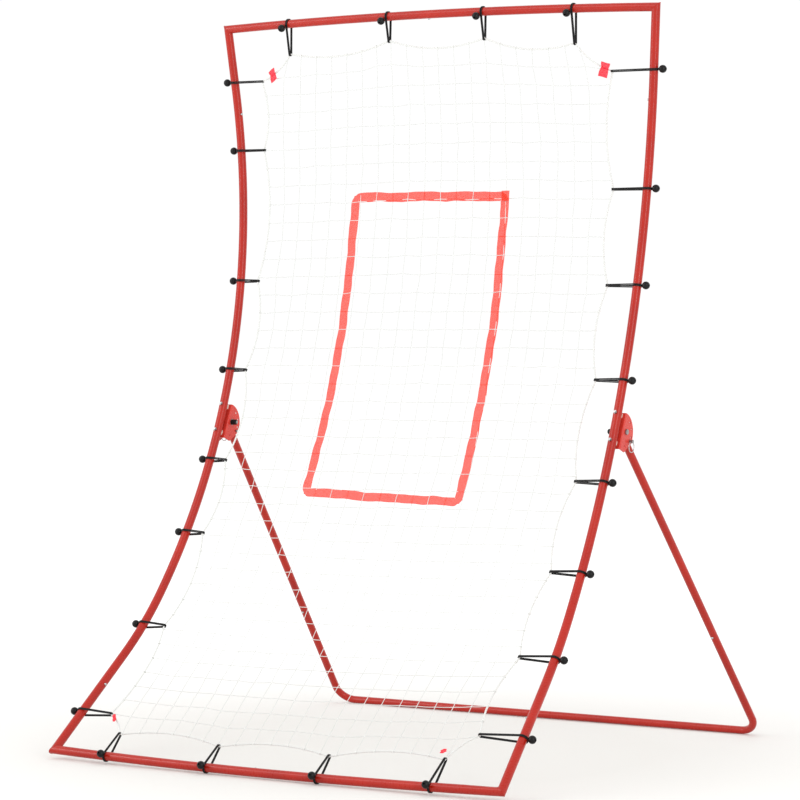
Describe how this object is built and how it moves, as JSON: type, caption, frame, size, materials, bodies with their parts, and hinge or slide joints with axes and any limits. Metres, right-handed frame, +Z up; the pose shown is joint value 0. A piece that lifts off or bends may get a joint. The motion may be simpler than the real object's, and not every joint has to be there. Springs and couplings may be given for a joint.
{
  "type": "pitching target net",
  "caption": "Free-standing pitching net: curved red tube frame, folding rear leg, white mesh on ball bungees and a red ribbon strike zone.",
  "frame": {"origin": "on the ground under the middle of the object's bounding box", "axes": "+X to the right seen by the pitcher in front, +Y back towards the rear leg, +Z up"},
  "size_m": [1.3229, 1.3897, 1.8898],
  "materials": {
    "frame_paint": "gloss red powder coat",
    "bracket_paint": "gloss red powder coat",
    "zinc_steel": "bright zinc plate",
    "ring_steel": "nickel plate",
    "spring_steel": "dull spring steel",
    "button_steel": "zinc plate",
    "spacer_plastic": "natural nylon",
    "knob_plastic": "satin black",
    "bungee_elastic": "woven black elastic",
    "bungee_ball": "satin black",
    "net_twine": "white knotted polyethylene twine",
    "border_rope": "white braided rope",
    "target_ribbon": "red woven ribbon",
    "tag_ribbon": "pink-red ribbon"
  },
  "bodies": {
    "frame": {"top_corner_left": "frame_paint", "bottom_corner_left": "frame_paint", "upper_side_left": "frame_paint", "lower_side_left": "frame_paint", "hinge_tube_left": "frame_paint", "top_corner_right": "frame_paint", "bottom_corner_right": "frame_paint", "upper_side_right": "frame_paint", "lower_side_right": "frame_paint", "hinge_tube_right": "frame_paint", "hinge_bracket_left": "bracket_paint", "pivot_bolt_left": "zinc_steel", "hinge_bracket_right": "bracket_paint", "pivot_bolt_right": "zinc_steel", "bracket_bolts": "zinc_steel", "bracket_spacers": "spacer_plastic", "bracket_nuts": "zinc_steel", "pivot_washers": "zinc_steel", "snap_springs_frame": "spring_steel", "net": "net_twine", "net_border_rope": "border_rope", "target_ribbon": "target_ribbon", "tag_top_left": "tag_ribbon", "tag_top_right": "tag_ribbon", "tag_bottom_left": "tag_ribbon", "tag_bottom_right": "tag_ribbon", "bungee_cords_left": "bungee_elastic", "bungee_balls_left": "bungee_ball", "bungee_cords_right": "bungee_elastic", "bungee_balls_right": "bungee_ball", "bungee_cords_top": "bungee_elastic", "bungee_balls_top": "bungee_ball", "bungee_cords_bottom": "bungee_elastic", "bungee_balls_bottom": "bungee_ball"},
    "rear_leg": {"leg_upper_left": "frame_paint", "leg_upper_right": "frame_paint", "leg_corner_left": "frame_paint", "leg_corner_right": "frame_paint", "leg_pivot_bushes": "zinc_steel", "snap_springs_leg": "spring_steel"},
    "lock_pin_body_left": {"lock_pin_left": "zinc_steel"},
    "pull_ring_body_left": {"pin_ring_left": "ring_steel"},
    "clamp_knob_body_left": {"clamp_knob_left": "knob_plastic"},
    "lock_pin_body_right": {"lock_pin_right": "zinc_steel"},
    "pull_ring_body_right": {"pin_ring_right": "ring_steel"},
    "clamp_knob_body_right": {"clamp_knob_right": "knob_plastic"},
    "snap_button_body_upper_left": {"snap_button_upper_left": "button_steel"},
    "snap_button_body_upper_right": {"snap_button_upper_right": "button_steel"},
    "snap_button_body_lower_left": {"snap_button_lower_left": "button_steel"},
    "snap_button_body_lower_right": {"snap_button_lower_right": "button_steel"},
    "snap_button_body_top_bar": {"snap_button_top_bar": "button_steel"},
    "snap_button_body_bottom_bar": {"snap_button_bottom_bar": "button_steel"},
    "snap_button_body_leg_left": {"snap_button_leg_left": "button_steel"},
    "snap_button_body_leg_right": {"snap_button_leg_right": "button_steel"},
    "snap_button_body_rear_bar": {"snap_button_rear_bar": "button_steel"}
  },
  "joints": [
    {"name": "leg_fold", "type": "hinge", "parent": "frame", "child": "rear_leg", "pos_m": [0, 0.01923, 0.81867], "axis": [1, 0, 0], "range_deg": [-64, 0]},
    {"name": "lock_pin_pull_left", "type": "slide", "parent": "frame", "child": "lock_pin_body_left", "axis": [-1, 0, 0], "range_m": [0, 0.045]},
    {"name": "pull_ring_swing_left", "type": "hinge", "parent": "lock_pin_body_left", "child": "pull_ring_body_left", "pos_m": [-0.60859, 0.03893, 0.79474], "axis": [0, 1, 0], "range_deg": [0, 100]},
    {"name": "clamp_knob_turn_left", "type": "hinge", "parent": "frame", "child": "clamp_knob_body_left", "pos_m": [-0.58729, 0.01923, 0.81867], "axis": [1, 0, 0], "continuous": true},
    {"name": "lock_pin_pull_right", "type": "slide", "parent": "frame", "child": "lock_pin_body_right", "axis": [1, 0, 0], "range_m": [0, 0.045]},
    {"name": "pull_ring_swing_right", "type": "hinge", "parent": "lock_pin_body_right", "child": "pull_ring_body_right", "pos_m": [0.60859, 0.03893, 0.79474], "axis": [0, -1, 0], "range_deg": [0, 100]},
    {"name": "clamp_knob_turn_right", "type": "hinge", "parent": "frame", "child": "clamp_knob_body_right", "pos_m": [0.58729, 0.01923, 0.81867], "axis": [-1, 0, 0], "continuous": true},
    {"name": "snap_button_press_upper_left", "type": "slide", "parent": "frame", "child": "snap_button_body_upper_left", "axis": [-0.9846, 0.162, -0.0662], "range_m": [0, 0.003], "stiffness_N_per_m": 800},
    {"name": "snap_button_press_upper_right", "type": "slide", "parent": "frame", "child": "snap_button_body_upper_right", "axis": [0.9846, 0.162, -0.0662], "range_m": [0, 0.003], "stiffness_N_per_m": 800},
    {"name": "snap_button_press_lower_left", "type": "slide", "parent": "frame", "child": "snap_button_body_lower_left", "axis": [-0.9846, 0.162, -0.0662], "range_m": [0, 0.003], "stiffness_N_per_m": 800},
    {"name": "snap_button_press_lower_right", "type": "slide", "parent": "frame", "child": "snap_button_body_lower_right", "axis": [0.9846, 0.162, -0.0662], "range_m": [0, 0.003], "stiffness_N_per_m": 800},
    {"name": "snap_button_press_top_bar", "type": "slide", "parent": "frame", "child": "snap_button_body_top_bar", "axis": [0, -0.1004, 0.995], "range_m": [0, 0.003], "stiffness_N_per_m": 800},
    {"name": "snap_button_press_bottom_bar", "type": "slide", "parent": "frame", "child": "snap_button_body_bottom_bar", "axis": [0, -0.758, -0.6523], "range_m": [0, 0.003], "stiffness_N_per_m": 800},
    {"name": "snap_button_press_leg_left", "type": "slide", "parent": "rear_leg", "child": "snap_button_body_leg_left", "axis": [0, 0.7721, 0.6355], "range_m": [0, 0.003], "stiffness_N_per_m": 800},
    {"name": "snap_button_press_leg_right", "type": "slide", "parent": "rear_leg", "child": "snap_button_body_leg_right", "axis": [0, 0.7721, 0.6355], "range_m": [0, 0.003], "stiffness_N_per_m": 800},
    {"name": "snap_button_press_rear_bar", "type": "slide", "parent": "rear_leg", "child": "snap_button_body_rear_bar", "axis": [0, 1, 0], "range_m": [0, 0.003], "stiffness_N_per_m": 800}
  ]
}
